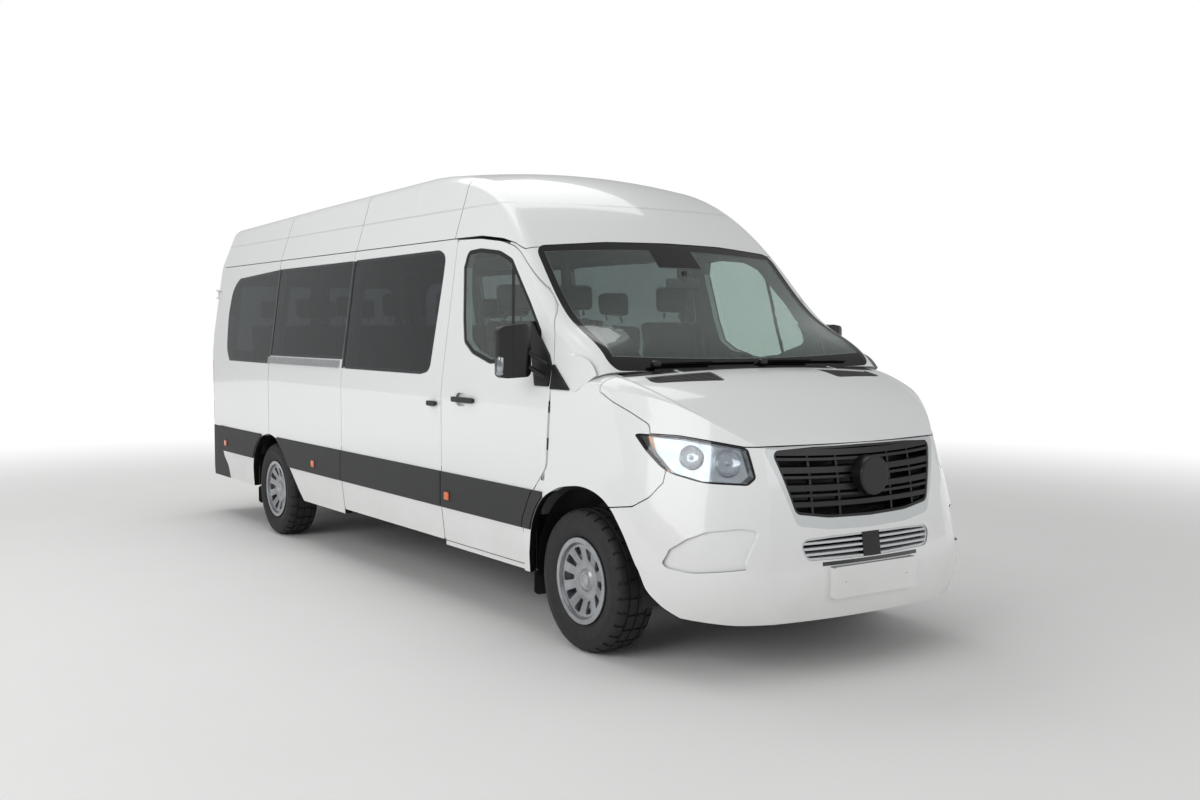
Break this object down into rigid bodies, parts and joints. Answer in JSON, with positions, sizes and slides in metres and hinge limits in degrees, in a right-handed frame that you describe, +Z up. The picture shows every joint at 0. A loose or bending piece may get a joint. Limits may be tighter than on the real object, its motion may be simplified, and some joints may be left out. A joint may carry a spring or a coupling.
{
  "type": "minibus",
  "caption": "Long high-roof minibus with glazed sides, sliding side door, hinged front and rear doors, opening bonnet, steered front wheels and rows of seats.",
  "frame": {"origin": "on the ground at the middle of the bounding box's length and width", "axes": "+X forward, +Y the vehicle's left side, +Z up"},
  "size_m": [6.967, 2.4138, 2.5944],
  "materials": {
    "white_paint": "gloss white paint",
    "white_bumper": "body-coloured plastic, painted gloss white",
    "privacy_glass": "dark tinted glass",
    "clear_glass": "lightly green-tinted glass",
    "lens": "clear lamp lens",
    "red_lens": "red lamp lens",
    "dark_trim": "charcoal grained plastic",
    "black_plastic": "black plastic",
    "grille_pale": "pale silver plastic",
    "lamp_housing": "bright metallised plastic",
    "rail_metal": "satin aluminium",
    "frame_paint": "inner body paint",
    "under_paint": "black chassis paint",
    "seat_fabric": "dark grey woven fabric",
    "floor_rubber": "grey floor covering",
    "cast": "raw cast iron and steel",
    "pipe_steel": "dull steel pipe",
    "flap_rubber": "black rubber",
    "tyre_rubber": "black tyre rubber",
    "wheel_silver": "silver wheel paint",
    "mirror_face": "mirror glass",
    "tank_plastic": "black moulded tank"
  },
  "bodies": {
    "body": {"body_frame": "frame_paint", "cab_frame": "white_paint", "chassis": "under_paint", "cowl": "black_plastic", "dashboard": "dark_trim", "engine": "cast", "exhaust": "pipe_steel", "fender_left": "white_paint", "fender_right": "white_paint", "floor_pan": "floor_rubber", "front_bumper": "white_bumper", "front_seats": "seat_fabric", "front_subframe": "under_paint", "fuel_tank": "tank_plastic", "grille": "black_plastic", "grille_frame": "grille_pale", "headlamp_lenses": "lens", "headlamps": "lamp_housing", "mud_flaps": "flap_rubber", "rear_axle": "cast", "rear_bumper": "black_plastic", "rear_seats": "seat_fabric", "roof": "white_paint", "seat_frames": "under_paint", "side_glass": "privacy_glass", "side_trim": "dark_trim", "side_wall_left": "white_paint", "side_wall_right": "white_paint", "slide_rail": "rail_metal", "sliding_door": "white_paint", "tail_lamps": "red_lens", "windscreen": "clear_glass"},
    "front_door_left": {"front_door_left": "white_paint", "front_door_glass_left": "clear_glass", "front_door_trim_left": "dark_trim", "mirror_left": "black_plastic", "mirror_glass_left": "mirror_face"},
    "rear_door_left": {"rear_door_left": "white_paint", "rear_door_glass_left": "privacy_glass"},
    "knuckle_left": {"knuckle_left": "cast"},
    "wheel_front_left": {"tyre_front_left": "tyre_rubber", "rim_front_left": "wheel_silver"},
    "wheel_rear_left": {"tyre_rear_left": "tyre_rubber", "rim_rear_left": "wheel_silver"},
    "front_door_right": {"front_door_right": "white_paint", "front_door_glass_right": "clear_glass", "front_door_trim_right": "dark_trim", "mirror_right": "black_plastic", "mirror_glass_right": "mirror_face"},
    "rear_door_right": {"rear_door_right": "white_paint", "rear_door_glass_right": "privacy_glass"},
    "knuckle_right": {"knuckle_right": "cast"},
    "wheel_front_right": {"tyre_front_right": "tyre_rubber", "rim_front_right": "wheel_silver"},
    "wheel_rear_right": {"tyre_rear_right": "tyre_rubber", "rim_rear_right": "wheel_silver"},
    "bonnet": {"bonnet": "white_paint", "bonnet_vents": "black_plastic"},
    "steering_wheel": {"steering_wheel": "black_plastic"}
  },
  "joints": [
    {"name": "steering_turn", "type": "hinge", "parent": "body", "child": "steering_wheel", "pos_m": [1.78, 0.48, 1.33], "axis": [-0.6428, 0, 0.766], "range_deg": [-490, 490]},
    {"name": "steer_left", "type": "hinge", "parent": "body", "child": "knuckle_left", "pos_m": [2.4135, 0.76, 0.356], "axis": [0, 0, 1], "range_deg": [-35, 35]},
    {"name": "front_wheel_left_spin", "type": "hinge", "parent": "knuckle_left", "child": "wheel_front_left", "pos_m": [2.4135, 0.855, 0.356], "axis": [0, 1, 0], "continuous": true},
    {"name": "rear_wheel_left_spin", "type": "hinge", "parent": "body", "child": "wheel_rear_left", "pos_m": [-1.9115, 0.855, 0.356], "axis": [0, 1, 0], "continuous": true},
    {"name": "front_door_left_swing", "type": "hinge", "parent": "body", "child": "front_door_left", "pos_m": [2.12, 0.985, 1.1], "axis": [0, 0, -1], "range_deg": [0, 65]},
    {"name": "rear_door_left_swing", "type": "hinge", "parent": "body", "child": "rear_door_left", "pos_m": [-3.4535, 0.895, 1.3], "axis": [0, 0, -1], "range_deg": [0, 180]},
    {"name": "steer_right", "type": "hinge", "parent": "body", "child": "knuckle_right", "pos_m": [2.4135, -0.76, 0.356], "axis": [0, 0, 1], "range_deg": [-35, 35]},
    {"name": "front_wheel_right_spin", "type": "hinge", "parent": "knuckle_right", "child": "wheel_front_right", "pos_m": [2.4135, -0.855, 0.356], "axis": [0, 1, 0], "continuous": true},
    {"name": "rear_wheel_right_spin", "type": "hinge", "parent": "body", "child": "wheel_rear_right", "pos_m": [-1.9115, -0.855, 0.356], "axis": [0, 1, 0], "continuous": true},
    {"name": "front_door_right_swing", "type": "hinge", "parent": "body", "child": "front_door_right", "pos_m": [2.12, -0.985, 1.1], "axis": [0, 0, 1], "range_deg": [0, 65]},
    {"name": "rear_door_right_swing", "type": "hinge", "parent": "body", "child": "rear_door_right", "pos_m": [-3.4535, -0.895, 1.3], "axis": [0, 0, 1], "range_deg": [0, 180]},
    {"name": "bonnet_lift", "type": "hinge", "parent": "body", "child": "bonnet", "pos_m": [2.612, 0, 1.392], "axis": [0, -1, 0], "range_deg": [0, 55]}
  ],
  "couplings": [
    {"joint": "steer_left", "follows": "steering_turn", "ratio": 0.071429},
    {"joint": "steer_right", "follows": "steering_turn", "ratio": 0.071429}
  ]
}
